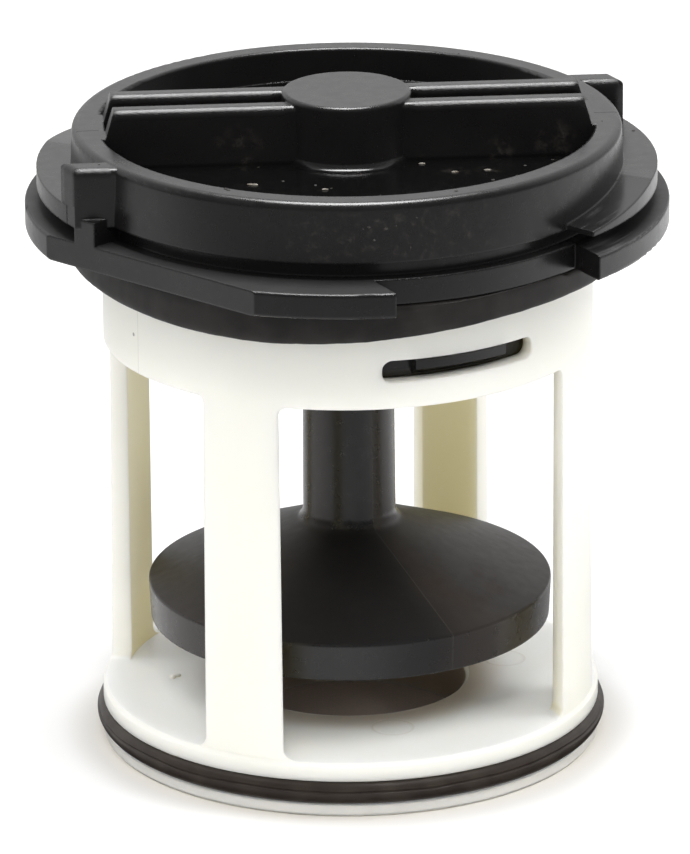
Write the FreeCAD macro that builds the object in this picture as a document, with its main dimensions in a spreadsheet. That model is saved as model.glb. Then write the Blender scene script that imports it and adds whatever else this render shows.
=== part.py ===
import FreeCAD, Part
import os
import re

import Sketcher

# Drain-pump filter of a washing machine: screw-in cap, open cage, deflector and two rubber rings.
# Millimetres. The origin is the middle of the cage's underside, +Z runs up the filter's axis and -Y is
# the front. A bearing is an angle about the axis, counted from the front towards +X.

SIZES = {
    # base disc of the cage and the seal ring in its edge
    "base_radius": 25.8,
    "base_height": 5.75,
    "base_edge": 0.35,
    "hole_radius": 12.0,
    "hole_edge": 0.4,
    "seal_section": 2.5,
    "seal_height": 2.6,
    "seal_sink": 0.6,
    "seal_ease": 0.05,
    # wall of the cage: columns, windows and slotted collar
    "column_inset": 0.3,
    "wall_draft": 0.35,
    "wall_thickness": 1.75,
    "window_height": 37.8,
    "window_width": 30.8,
    "window_bearing": 21.6,
    "side_window_angle": 66.0,
    "foot_fillet": 1.2,
    "head_fillet": 0.8,
    "collar_height": 12.1,
    "slot_rise": 2.72,
    "slot_height": 2.33,
    "slot_width": 17.0,
    "slot_round": 1.0,
    "snap_bearing": 27.4,
    # flange of the cap, with its flats, notches and stop tabs
    "flange_radius": 32.9,
    "flange_thickness": 2.6,
    "flange_edge": 0.3,
    "flat_depth": 3.15,
    "flat_bearing": -41.5,
    "notch_depth": 4.4,
    "notch_width": 23.2,
    "notch_bearing": 29.0,
    "tab_offset": 7.45,
    "tab_width": 2.75,
    "tab_height": 2.5,
    # finger ring and floor of the cap
    "grip_bearing": 4.4,
    "neck_height": 1.6,
    "neck_inset": 1.1,
    "ring_outer": 28.2,
    "ring_wall": 2.9,
    "ring_height": 6.2,
    "ring_draft": 0.2,
    "ring_edge": 0.75,
    "ring_lip": 0.3,
    "floor_rise": 2.8,
    "floor_thickness": 2.2,
    # boss and ribs of the grip bar, with the pads that the ribs end in
    "boss_radius": 6.6,
    "boss_height": 6.6,
    "boss_edge": 0.4,
    "boss_foot": 0.7,
    "rib_drop": 0.5,
    "rib_thickness": 2.2,
    "rib_spacing": 5.35,
    "rib_end_slope": 0.8,
    "rib_edge": 0.55,
    "pad_reach": 0.65,
    "pad_width": 8.4,
    # bayonet wings and their stop blocks
    "wing_reach": 3.45,
    "wing_thickness": 1.95,
    "wing_tip_bearing": 50.8,
    "wing_end_bearing": 117.4,
    "ramp_end_bearing": 77.0,
    "ramp_tip": 0.5,
    "block_offset": 11.25,
    "block_width": 2.8,
    "block_drop": 0.1,
    "block_edge": 0.5,
    # hidden underside of the cap: skirt with snap barbs, and the deflector's socket
    "skirt_ease": 0.2,
    "skirt_wall": 2.0,
    "skirt_length": 10.85,
    "barb_inset": 0.15,
    "barb_angle": 23.5,
    "barb_ease": 0.2,
    "socket_wall": 2.5,
    "socket_drop": 6.35,
    "socket_roof": 2.4,
    "socket_ease": 0.1,
    # deflector
    "shaft_radius": 4.65,
    "shaft_draft": 0.15,
    "core_radius": 2.4,
    "core_roof": 5.3,
    "cone_gap": 2.5,
    "cone_height": 6.55,
    "cone_wall": 2.6,
    "cone_fillet": 1.6,
    "rim_lift": 7.15,
    "rim_height": 3.87,
    "rim_draft": 0.2,
    "rim_edge": 0.3,
    # rubber gasket under the flange
    "gasket_width": 3.27,
    "gasket_height": 3.62,
    "gasket_ease": 0.08,
    "gasket_edge": 0.5,
}

# Heights that follow from the sizes, from the base upwards
WINDOW_TOP = "(base_height + window_height)"
SLOT_BOTTOM = "(%s + slot_rise)" % WINDOW_TOP
SLOT_TOP = "(%s + slot_height)" % SLOT_BOTTOM
FLANGE_BOTTOM = "(%s + collar_height)" % WINDOW_TOP
FLANGE_TOP = "(%s + flange_thickness)" % FLANGE_BOTTOM
RING_BOTTOM = "(%s + neck_height)" % FLANGE_TOP
RING_TOP = "(%s + ring_height)" % RING_BOTTOM
FLOOR_TOP = "(%s + floor_rise)" % RING_BOTTOM
BOSS_TOP = "(%s + boss_height)" % FLOOR_TOP
SOCKET_BOTTOM = "(%s - socket_drop)" % FLANGE_BOTTOM
SOCKET_TOP = "(%s - socket_roof)" % BOSS_TOP

# Radii that follow from the sizes, so that what fits together stays together
COLUMN_RADIUS = "(base_radius - column_inset)"
COLLAR_RADIUS = "(%s - wall_draft)" % COLUMN_RADIUS
WALL_INNER = "(%s - wall_thickness)" % COLLAR_RADIUS
SEAL_RADIUS = "(base_radius - seal_sink)"
SKIRT_OUTER = "(%s - skirt_ease)" % WALL_INNER
SKIRT_MIDDLE = "(%s - skirt_wall / 2)" % SKIRT_OUTER
SOCKET_RADIUS = "(shaft_radius + socket_ease)"
NOTCH_FLOOR = "(flange_radius - notch_depth)"
FLAT_REACH = "(flange_radius - flat_depth)"
RING_INNER = "(ring_outer - ring_wall)"
RING_MIDDLE = "(ring_outer - ring_wall / 2)"
PAD_INNER = "(%s - pad_reach)" % RING_INNER
WING_RADIUS = "(ring_outer + wing_reach)"
CONE_RADIUS = "(%s - cone_gap)" % WALL_INNER

doc = FreeCAD.newDocument("pump_filter")
sheet = doc.addObject("Spreadsheet::Sheet", "Sizes")
for row, (alias, number) in enumerate(SIZES.items(), start=1):
    sheet.set("A%d" % row, alias)
    sheet.set("B%d" % row, str(number))
    sheet.setAlias("B%d" % row, alias)
doc.recompute()


# Sheet expressions

def linked(text):
    """The expression with each size's name pointing into the sheet."""
    return re.sub(r"[a-z_]+", lambda word: "Sizes." + word[0] if word[0] in SIZES else word[0], text)


def value(text):
    return float(sheet.evalExpression(linked(text)))


def bind(item, **expressions):
    """Tie properties of a document object to the sheet."""
    for name, text in expressions.items():
        item.setExpression(name, linked(text))


# Sketches

def new_body(label):
    body = doc.addObject("PartDesign::Body", label)
    body.Label = label
    return body


def origin_feature(body, role):
    return next(item for item in body.Origin.OriginFeatures if item.Role == role)


def new_sketch(body, name, plane, turn="0", lift="0", out="0"):
    """A sketch on the XY or XZ plane: turned to a bearing, and lifted up Z or moved out along the bearing."""
    sketch = body.newObject("Sketcher::SketchObject", name)
    sketch.AttachmentSupport = (origin_feature(body, plane + "_Plane"), [""])
    sketch.MapMode = "FlatFace"
    axis = FreeCAD.Vector(0, 0, 1) if plane == "XY" else FreeCAD.Vector(0, 1, 0)
    sketch.AttachmentOffset = FreeCAD.Placement(FreeCAD.Vector(), FreeCAD.Rotation(axis, 1))
    offset = {"Rotation.Angle": turn}
    if plane == "XY":
        offset["Base.z"] = lift
    else:
        offset["Base.x"] = "(%s) * sin(%s)" % (out, turn)
        offset["Base.z"] = "(%s) * cos(%s)" % (out, turn)
    for path, text in offset.items():
        sketch.setExpression("AttachmentOffset." + path, linked(text))
    return sketch


def pin_corner(sketch, corner, kind, text):
    """Hold one coordinate of a corner, on the axis itself or at a distance from the sheet."""
    if text == "0":
        axis = -2 if kind == "DistanceX" else -1
        sketch.addConstraint(Sketcher.Constraint("PointOnObject", corner, 1, axis))
        return
    index = sketch.addConstraint(Sketcher.Constraint(kind, -1, 1, corner, 1, value(text)))
    sketch.setExpression("Constraints[%d]" % index, linked(text))


def draw_outline(sketch, corners):
    """A closed outline of straight sides, each corner given as a pair of expressions."""
    places = [FreeCAD.Vector(value(across), value(along), 0) for across, along in corners]
    count = len(corners)
    for corner, place in enumerate(places):
        sketch.addGeometry(Part.LineSegment(place, places[(corner + 1) % count]), False)
    for corner in range(count):
        sketch.addConstraint(Sketcher.Constraint("Coincident", corner, 2, (corner + 1) % count, 1))
    for corner, (across, along) in enumerate(corners):
        pin_corner(sketch, corner, "DistanceX", across)
        pin_corner(sketch, corner, "DistanceY", along)
    return sketch


def draw_circle(sketch, radius):
    """A circle about the sketch's origin."""
    sketch.addGeometry(Part.Circle(FreeCAD.Vector(), FreeCAD.Vector(0, 0, 1), value(radius)), False)
    sketch.addConstraint(Sketcher.Constraint("Coincident", 0, 3, -1, 1))
    index = sketch.addConstraint(Sketcher.Constraint("Radius", 0, value(radius)))
    sketch.setExpression("Constraints[%d]" % index, linked(radius))
    return sketch


def rectangle(left, right, low, high):
    return [(left, low), (right, low), (right, high), (left, high)]


# Features

def finish(body, feature):
    body.Tip = feature
    doc.recompute()
    return feature


def revolve(body, name, sketch, angle="360"):
    """A revolution about Z, half of its angle on each side of the sketch."""
    feature = body.newObject("PartDesign::Revolution", name)
    feature.Profile = sketch
    feature.ReferenceAxis = (sketch, ["V_Axis"])
    feature.Midplane = True
    bind(feature, Angle=angle)
    return finish(body, feature)


def pad(body, name, sketch, length, midplane=False):
    feature = body.newObject("PartDesign::Pad", name)
    feature.Profile = sketch
    feature.SideType = "Symmetric" if midplane else "One side"
    bind(feature, Length=length)
    return finish(body, feature)


def pocket(body, name, sketch, length, forward=False, midplane=False):
    """A cut behind the sketch, in front of it, or on both sides; it has to take something away."""
    before = body.Shape.Volume
    feature = body.newObject("PartDesign::Pocket", name)
    feature.Profile = sketch
    feature.SideType = "Symmetric" if midplane else "One side"
    feature.Reversed = forward
    bind(feature, Length=length)
    finish(body, feature)
    if body.Shape.Volume > before - 0.01:
        raise RuntimeError(name + " cuts nothing")
    return feature


def repeat_opposite(body, name, *features):
    """The same features again, half a turn round the axis."""
    pattern = body.newObject("PartDesign::PolarPattern", name)
    pattern.Originals = list(features)
    pattern.Axis = (origin_feature(body, "Z_Axis"), [""])
    pattern.Angle = 360
    pattern.Occurrences = 2
    return finish(body, pattern)


def soften(body, name, radius, chosen):
    """Round every edge of the body that the test chooses."""
    base = body.Tip
    names = ["Edge%d" % (index + 1) for index, edge in enumerate(base.Shape.Edges) if chosen(edge)]
    if not names:
        raise RuntimeError(name + " finds no edge")
    feature = body.newObject("PartDesign::Fillet", name)
    feature.Base = (base, names)
    bind(feature, Radius=radius)
    return finish(body, feature)


# Tests that choose edges

def near(number, text):
    return abs(number - value(text)) < 0.02


def is_circle_at(edge, radius, height):
    """A round edge about the axis, of the given radius and height."""
    curve = edge.Curve
    if not isinstance(curve, Part.Circle):
        return False
    centred = curve.Center.x ** 2 + curve.Center.y ** 2 < 0.01
    return centred and near(curve.Radius, radius) and near(curve.Center.z, height)


def is_level_line(edge, height):
    """A straight edge at the given height."""
    straight = isinstance(edge.Curve, (Part.Line, Part.LineSegment))
    return straight and all(near(vertex.Z, height) for vertex in edge.Vertexes)


def middle_radius(edge):
    middle = edge.valueAt((edge.FirstParameter + edge.LastParameter) / 2)
    return (middle.x ** 2 + middle.y ** 2) ** 0.5


# Cage: base disc with a seal groove and a suction hole, four columns, slotted collar

def build_cage():
    body = new_body("cage")
    groove_floor = SEAL_RADIUS + " - seal_section / 2 - seal_ease"
    groove_bottom = "seal_height - seal_section / 2 - seal_ease"
    groove_top = "seal_height + seal_section / 2 + seal_ease"
    section = draw_outline(new_sketch(body, "cage_section", "XZ"), [
        ("hole_radius", "0"),
        ("base_radius - base_edge", "0"),
        ("base_radius", "base_edge"),
        ("base_radius", groove_bottom),
        (groove_floor, groove_bottom),
        (groove_floor, groove_top),
        ("base_radius", groove_top),
        ("base_radius", "base_height - base_edge"),
        (COLUMN_RADIUS, "base_height"),
        (COLLAR_RADIUS, WINDOW_TOP),
        (COLLAR_RADIUS, FLANGE_BOTTOM),
        (WALL_INNER, FLANGE_BOTTOM),
        (WALL_INNER, "base_height"),
        ("hole_radius + hole_edge", "base_height"),
        ("hole_radius", "base_height - hole_edge"),
    ])
    revolve(body, "cage_turned", section)
    cut_windows(body)
    cut_slots(body)
    return body


def cut_windows(body):
    """Straight windows through the wall, wedge windows between them, and rounds at the column ends."""
    far = "2 * base_radius"
    straight = draw_outline(
        new_sketch(body, "window_plan", "XY", "window_bearing", WINDOW_TOP),
        rectangle("-window_width / 2", "window_width / 2", "-" + far, far))
    pocket(body, "windows", straight, "window_height")
    wedge = draw_outline(new_sketch(body, "side_window_plan", "XY", "window_bearing", WINDOW_TOP), [
        ("0", "0"),
        (far, "-" + far + " * tan(side_window_angle / 2)"),
        (far, far + " * tan(side_window_angle / 2)"),
    ])
    side = pocket(body, "side_window", wedge, "window_height")
    repeat_opposite(body, "side_windows", side)

    def on_wall(edge, height):
        return is_level_line(edge, height) and middle_radius(edge) > value(WALL_INNER)

    soften(body, "column_feet", "foot_fillet", lambda edge: on_wall(edge, "base_height"))
    soften(body, "column_heads", "head_fillet", lambda edge: on_wall(edge, WINDOW_TOP))


def cut_slots(body):
    """Round-ended slots through both sides of the collar, for the cap's snap barbs."""
    outline = draw_outline(
        new_sketch(body, "slot_outline", "XZ", "snap_bearing"),
        rectangle("-slot_width / 2", "slot_width / 2", SLOT_BOTTOM, SLOT_TOP))
    pocket(body, "slots", outline, "4 * base_radius", midplane=True)
    soften(body, "slot_ends", "slot_round",
           lambda edge: is_level_line(edge, SLOT_BOTTOM) or is_level_line(edge, SLOT_TOP))


# Cap: flange, core, bayonet wings, finger ring, grip bar and snap barbs in one moulding

def build_cap():
    body = new_body("cap")
    body.Placement = FreeCAD.Placement(FreeCAD.Vector(), FreeCAD.Rotation(FreeCAD.Vector(0, 0, 1), 1))
    body.setExpression("Placement.Rotation.Angle", linked("grip_bearing"))
    add_flange(body)
    add_core(body)
    add_wings(body)
    add_ring(body)
    add_stops(body)
    add_grip_bar(body)
    add_socket(body)
    add_barbs(body)
    return body


def add_flange(body):
    """A flat band, cut by two flats and by a notch above each snap barb."""
    band = draw_outline(
        new_sketch(body, "flange_section", "XZ"),
        rectangle(SKIRT_OUTER, "flange_radius", FLANGE_BOTTOM, FLANGE_TOP))
    revolve(body, "flange", band)
    soften(body, "flange_edges", "flange_edge",
           lambda edge: is_circle_at(edge, "flange_radius", FLANGE_TOP)
           or is_circle_at(edge, "flange_radius", FLANGE_BOTTOM))
    far = "2 * flange_radius"
    flat_plan = draw_outline(
        new_sketch(body, "flat_plan", "XY", "flat_bearing - grip_bearing", FLANGE_TOP),
        rectangle("-" + far, far, "-" + far, "-" + FLAT_REACH))
    flat = pocket(body, "flat", flat_plan, "flange_thickness")
    repeat_opposite(body, "flats", flat)
    notch_root = "-(%s + %s) / 2" % (SKIRT_OUTER, NOTCH_FLOOR)
    notch_plan = draw_outline(
        new_sketch(body, "notch_plan", "XY", "notch_bearing - grip_bearing", FLANGE_TOP),
        rectangle("-notch_width / 2", "notch_width / 2", "-" + far, notch_root))
    notch = pocket(body, "notch", notch_plan, "flange_thickness")
    repeat_opposite(body, "notches", notch)


def add_core(body):
    """Skirt, neck, floor and boss, with a hub under the boss."""
    skirt_inner = SKIRT_OUTER + " - skirt_wall"
    skirt_bottom = FLANGE_BOTTOM + " - skirt_length"
    floor_bottom = FLOOR_TOP + " - floor_thickness"
    hub_radius = SOCKET_RADIUS + " + socket_wall"
    section = draw_outline(new_sketch(body, "core_section", "XZ"), [
        (skirt_inner, skirt_bottom),
        (SKIRT_OUTER, skirt_bottom),
        (SKIRT_OUTER, FLANGE_BOTTOM),
        (NOTCH_FLOOR, FLANGE_BOTTOM),
        (NOTCH_FLOOR, FLANGE_TOP),
        ("ring_outer - neck_inset", FLANGE_TOP),
        ("ring_outer - neck_inset", FLOOR_TOP),
        ("boss_radius", FLOOR_TOP),
        ("boss_radius", BOSS_TOP),
        ("0", BOSS_TOP),
        ("0", SOCKET_BOTTOM),
        (hub_radius, SOCKET_BOTTOM),
        (hub_radius, floor_bottom),
        (skirt_inner, floor_bottom),
    ])
    revolve(body, "core", section)
    soften(body, "boss_foot_round", "boss_foot", lambda edge: is_circle_at(edge, "boss_radius", FLOOR_TOP))
    soften(body, "boss_top_round", "boss_edge", lambda edge: is_circle_at(edge, "boss_radius", BOSS_TOP))


def add_wings(body):
    """Bayonet wings that start as a ramp; each cut stops inside the finger ring's wall."""
    wing_top = RING_BOTTOM + " + wing_thickness"
    turn = "(wing_tip_bearing + wing_end_bearing) / 2 - grip_bearing - 90"
    section = draw_outline(
        new_sketch(body, "wing_section", "XZ", turn),
        rectangle(RING_MIDDLE, WING_RADIUS, RING_BOTTOM, wing_top))
    wing = revolve(body, "wing", section, "wing_end_bearing - wing_tip_bearing")

    # The ramp runs from the wing's top to its tip, and a little past the tip
    turn = "(wing_tip_bearing + ramp_end_bearing) / 2 - grip_bearing"
    half_run = WING_RADIUS + " * sin((ramp_end_bearing - wing_tip_bearing) / 2)"
    run_out = 1.2
    cut_start = "-%g * %s" % (run_out, half_run)
    cut_depth = "(wing_thickness - ramp_tip) * %g" % ((run_out + 1) / 2)
    outline = draw_outline(new_sketch(body, "ramp_outline", "XZ", turn, out=RING_MIDDLE), [
        (cut_start, wing_top + " - " + cut_depth),
        (half_run, wing_top),
        (half_run, RING_TOP),
        (cut_start, RING_TOP),
    ])
    ramp = pocket(body, "ramp", outline, WING_RADIUS, forward=True)
    repeat_opposite(body, "wings", wing, ramp)


def add_ring(body):
    section = draw_outline(new_sketch(body, "ring_section", "XZ"), [
        (RING_INNER, RING_BOTTOM),
        ("ring_outer", RING_BOTTOM),
        ("ring_outer - ring_draft", RING_TOP),
        (RING_INNER, RING_TOP),
    ])
    revolve(body, "ring", section)
    soften(body, "ring_shoulder", "ring_edge",
           lambda edge: is_circle_at(edge, "ring_outer - ring_draft", RING_TOP))
    soften(body, "ring_lips", "ring_lip", lambda edge: is_circle_at(edge, RING_INNER, RING_TOP))


def add_stops(body):
    """A stop block at the end of each wing and a small tab on the flange beside it."""
    def on_radius(radius, along):
        return "sqrt(%s ^ 2 - %s ^ 2)" % (radius, along), along

    block_end = "(block_offset + block_width)"
    block_plan = draw_outline(new_sketch(body, "block_plan", "XY", lift=RING_BOTTOM), [
        on_radius(RING_MIDDLE, "block_offset"),
        on_radius(WING_RADIUS, "block_offset"),
        on_radius(WING_RADIUS, block_end),
        on_radius(RING_MIDDLE, block_end),
    ])
    block_height = "ring_height - block_drop"
    block = pad(body, "block", block_plan, block_height)
    tab_end = "(tab_offset + tab_width)"
    tab_root = "-sqrt(%s ^ 2 - %s ^ 2)" % (SKIRT_MIDDLE, tab_end)
    tab_plan = draw_outline(
        new_sketch(body, "tab_plan", "XY", "flat_bearing - grip_bearing", FLANGE_BOTTOM),
        rectangle("-" + tab_end, "-tab_offset", "-" + FLAT_REACH, tab_root))
    tab = pad(body, "tab", tab_plan, "flange_thickness + tab_height")
    repeat_opposite(body, "stops", block, tab)
    soften(body, "block_edges", "block_edge",
           lambda edge: is_level_line(edge, RING_BOTTOM + " + " + block_height))


def add_grip_bar(body):
    """Two ribs across the ring, standing above it and ending in pads level with its top."""
    rib_foot = FLOOR_TOP + " - floor_thickness / 2"
    rib_top = BOSS_TOP + " - rib_drop"
    rib_end = "(%s - rib_end_slope)" % PAD_INNER
    in_wall = RING_TOP + " - ring_edge"
    end_plan = draw_outline(
        new_sketch(body, "rib_pad_plan", "XY", lift=rib_foot),
        rectangle(PAD_INNER, RING_MIDDLE, "-pad_width / 2", "pad_width / 2"))
    end_pad = pad(body, "rib_pad", end_plan, "%s - (%s)" % (RING_TOP, rib_foot))
    repeat_opposite(body, "rib_pads", end_pad)
    outline = draw_outline(new_sketch(body, "rib_outline", "XZ", out="rib_spacing / 2"), [
        ("-" + RING_MIDDLE, rib_foot),
        (RING_MIDDLE, rib_foot),
        (RING_MIDDLE, in_wall),
        (PAD_INNER, RING_TOP),
        (rib_end, rib_top),
        ("-" + rib_end, rib_top),
        ("-" + PAD_INNER, RING_TOP),
        ("-" + RING_MIDDLE, in_wall),
    ])
    rib = pad(body, "rib", outline, "rib_thickness", midplane=True)
    mirrored = body.newObject("PartDesign::Mirrored", "ribs")
    mirrored.Originals = [rib]
    mirrored.MirrorPlane = (origin_feature(body, "XZ_Plane"), [""])
    finish(body, mirrored)
    soften(body, "rib_edges", "rib_edge",
           lambda edge: is_level_line(edge, rib_top) and edge.Length > value("2 * rib_thickness"))


def add_socket(body):
    """The blind hole up the hub that holds the deflector's shaft."""
    mouth = draw_circle(new_sketch(body, "socket_mouth", "XY", lift=SOCKET_BOTTOM), SOCKET_RADIUS)
    pocket(body, "socket", mouth, SOCKET_TOP + " - " + SOCKET_BOTTOM, forward=True)


def add_barbs(body):
    """Snap barbs on the skirt, sloping underneath, that spring into the collar's slots."""
    low = SLOT_BOTTOM + " + barb_ease"
    high = SLOT_TOP + " - barb_ease"
    reach = COLLAR_RADIUS + " - barb_inset"
    section = draw_outline(new_sketch(body, "barb_section", "XZ", "snap_bearing - grip_bearing - 90"), [
        (SKIRT_MIDDLE, low),
        (SKIRT_OUTER, low),
        (reach, "(%s + %s) / 2" % (low, high)),
        (reach, high),
        (SKIRT_MIDDLE, high),
    ])
    barb = revolve(body, "barb", section, "barb_angle")
    repeat_opposite(body, "barbs", barb)


# Deflector: a cored shaft with a wide dished cone at its foot

def build_deflector():
    body = new_body("deflector")
    shaft_top = SOCKET_TOP + " - socket_ease"
    core_top = SOCKET_TOP + " - core_roof"
    foot_radius = "shaft_radius + shaft_draft"
    rim_bottom = "base_height + rim_lift"
    rim_top = rim_bottom + " + rim_height"
    cone_top = rim_top + " + cone_height"
    rim_foot = CONE_RADIUS + " - rim_draft"
    section = draw_outline(new_sketch(body, "deflector_section", "XZ"), [
        ("0", core_top),
        ("0", shaft_top),
        ("shaft_radius", shaft_top),
        ("shaft_radius", SOCKET_BOTTOM),
        (foot_radius, cone_top),
        (CONE_RADIUS, rim_top),
        (rim_foot, rim_bottom),
        (rim_foot + " - cone_wall", rim_bottom),
        (rim_foot + " - cone_wall", rim_top + " - cone_wall / 2"),
        ("core_radius", cone_top + " - cone_wall / 2"),
        ("core_radius", core_top),
    ])
    revolve(body, "deflector_turned", section)
    soften(body, "cone_foot", "cone_fillet", lambda edge: is_circle_at(edge, foot_radius, cone_top))
    soften(body, "rim_round", "rim_edge", lambda edge: is_circle_at(edge, CONE_RADIUS, rim_top))
    return body


# Rubber rings

def build_cage_o_ring():
    ring = doc.addObject("Part::Torus", "cage_o_ring")
    ring.Label = "cage_o_ring"
    ring.setExpression("Placement.Base.z", linked("seal_height"))
    bind(ring, Radius1=SEAL_RADIUS, Radius2="seal_section / 2")
    doc.recompute()
    return ring


def build_cap_gasket():
    body = new_body("cap_gasket")
    inner = COLLAR_RADIUS + " + gasket_ease"
    outer = inner + " + gasket_width"
    bottom = FLANGE_BOTTOM + " - gasket_height"
    section = draw_outline(new_sketch(body, "gasket_section", "XZ"), [
        (inner, bottom),
        (outer + " - gasket_edge", bottom),
        (outer, bottom + " + gasket_edge"),
        (outer, FLANGE_BOTTOM + " - gasket_edge"),
        (outer + " - gasket_edge", FLANGE_BOTTOM),
        (inner, FLANGE_BOTTOM),
    ])
    revolve(body, "gasket_turned", section)
    return body


nodes = [build_cage(), build_cap(), build_deflector(), build_cage_o_ring(), build_cap_gasket()]
doc.recompute()

for item in doc.Objects:
    if "Invalid" in item.State or "Error" in item.State:
        raise RuntimeError(item.Label + " failed to build")
for node in nodes:
    if node.Shape.isNull() or not node.Shape.isValid() or len(node.Shape.Solids) != 1:
        raise RuntimeError(node.Label + " isn't one sound solid")

os.makedirs("parts", exist_ok=True)
for node in nodes:
    node.Shape.exportStep("parts/%s.step" % node.Label)
    box = node.Shape.BoundBox
    print("%-12s volume %8.1f  z %6.2f to %6.2f" % (node.Label, node.Shape.Volume, box.ZMin, box.ZMax))
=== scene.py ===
import functools
import math

import bmesh
import bpy
from mathutils import Matrix, Vector


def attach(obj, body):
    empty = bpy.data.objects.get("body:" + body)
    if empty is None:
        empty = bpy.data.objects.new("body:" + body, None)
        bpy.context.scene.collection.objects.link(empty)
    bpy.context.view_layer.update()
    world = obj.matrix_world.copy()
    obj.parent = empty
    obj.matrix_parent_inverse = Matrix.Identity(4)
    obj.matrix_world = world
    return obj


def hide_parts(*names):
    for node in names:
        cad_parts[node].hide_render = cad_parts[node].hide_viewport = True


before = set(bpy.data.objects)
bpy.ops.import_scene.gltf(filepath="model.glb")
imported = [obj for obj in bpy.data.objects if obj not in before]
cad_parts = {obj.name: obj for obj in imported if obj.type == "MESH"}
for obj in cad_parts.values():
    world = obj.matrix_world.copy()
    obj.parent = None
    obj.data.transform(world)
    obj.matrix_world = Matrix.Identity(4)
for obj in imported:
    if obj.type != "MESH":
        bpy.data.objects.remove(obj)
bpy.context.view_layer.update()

mm = 0.001
degree = math.radians(1)
weld = 0.001 * mm                                       # points closer than this are joined
plainWhite = (1, 1, 1, 1)
bevelSamples = 6
print("frame loaded:", ", ".join(sorted(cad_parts)))


# node sums, for materials and for shapes

class Wire:                                             # one node output, used like a number
    def __init__(self, tree, socket=None):
        self.tree = tree
        self.socket = socket

    def make(self, kind, settings=None, sockets=None, output=0):
        node = self.tree.nodes.new(kind)
        for name, value in (settings or {}).items():
            setattr(node, name, value)
        for key, value in (sockets or {}).items():
            if isinstance(value, Wire):
                self.tree.links.new(value.socket, node.inputs[key])
            else:
                node.inputs[key].default_value = value
        return Wire(self.tree, node.outputs[output])

    def also(self, output):                             # another output of the same node
        return Wire(self.tree, self.socket.node.outputs[output])

    def sum(self, operation, first, second=0.0):
        return self.make("ShaderNodeMath", {"operation": operation}, {0: first, 1: second})

    def __add__(self, other):
        return self.sum("ADD", self, other)

    def __sub__(self, other):
        return self.sum("SUBTRACT", self, other)

    def __rsub__(self, other):
        return self.sum("SUBTRACT", other, self)

    def __mul__(self, other):
        return self.sum("MULTIPLY", self, other)

    def __truediv__(self, other):
        return self.sum("DIVIDE", self, other)

    def __pow__(self, other):
        return self.sum("POWER", self, other)

    __radd__ = __add__
    __rmul__ = __mul__

    def plain(self):                                    # without its sign
        return self.sum("ABSOLUTE", self)

    def sine(self):
        return self.sum("SINE", self)

    def cosine(self):
        return self.sum("COSINE", self)

    def least(self, other):
        return self.sum("MINIMUM", self, other)

    def most(self, other):
        return self.sum("MAXIMUM", self, other)

    def between(self, low, high):                       # 0 below low, 1 above high, soft in between
        return self.make("ShaderNodeMapRange", {"interpolation_type": "SMOOTHSTEP"},
                         {"Value": self, "From Min": low, "From Max": high})

    def below(self, low, high):                         # the reverse: 1 below low, 0 above high
        return 1.0 - self.between(low, high)

    def hill(self, middle, half):                       # 1 at the middle, 0 from half away
        return ((self - middle).plain() / half).below(0.0, 1.0)

    def inside(self, low, high, soft):                  # 1 from low to high, with soft ends
        return self.between(low - soft, low) * self.below(high, high + soft)

    def vector(self, x, y, z):
        return self.make("ShaderNodeCombineXYZ", None, {0: x, 1: y, 2: z})

    def noiseAt(self, where, scale, detail=2.0, roughness=0.5):
        return self.make("ShaderNodeTexNoise", None,
                         {"Vector": where, "Scale": scale, "Detail": detail, "Roughness": roughness})

    def strayAt(self, where, width, scale, detail, roughness=0.5):      # noise to both sides of zero
        return (self.noiseAt(where, scale, detail, roughness) - 0.5) * width


def strongest(masks):                                   # one mask, from the largest of several
    return functools.reduce(Wire.most, masks)


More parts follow.
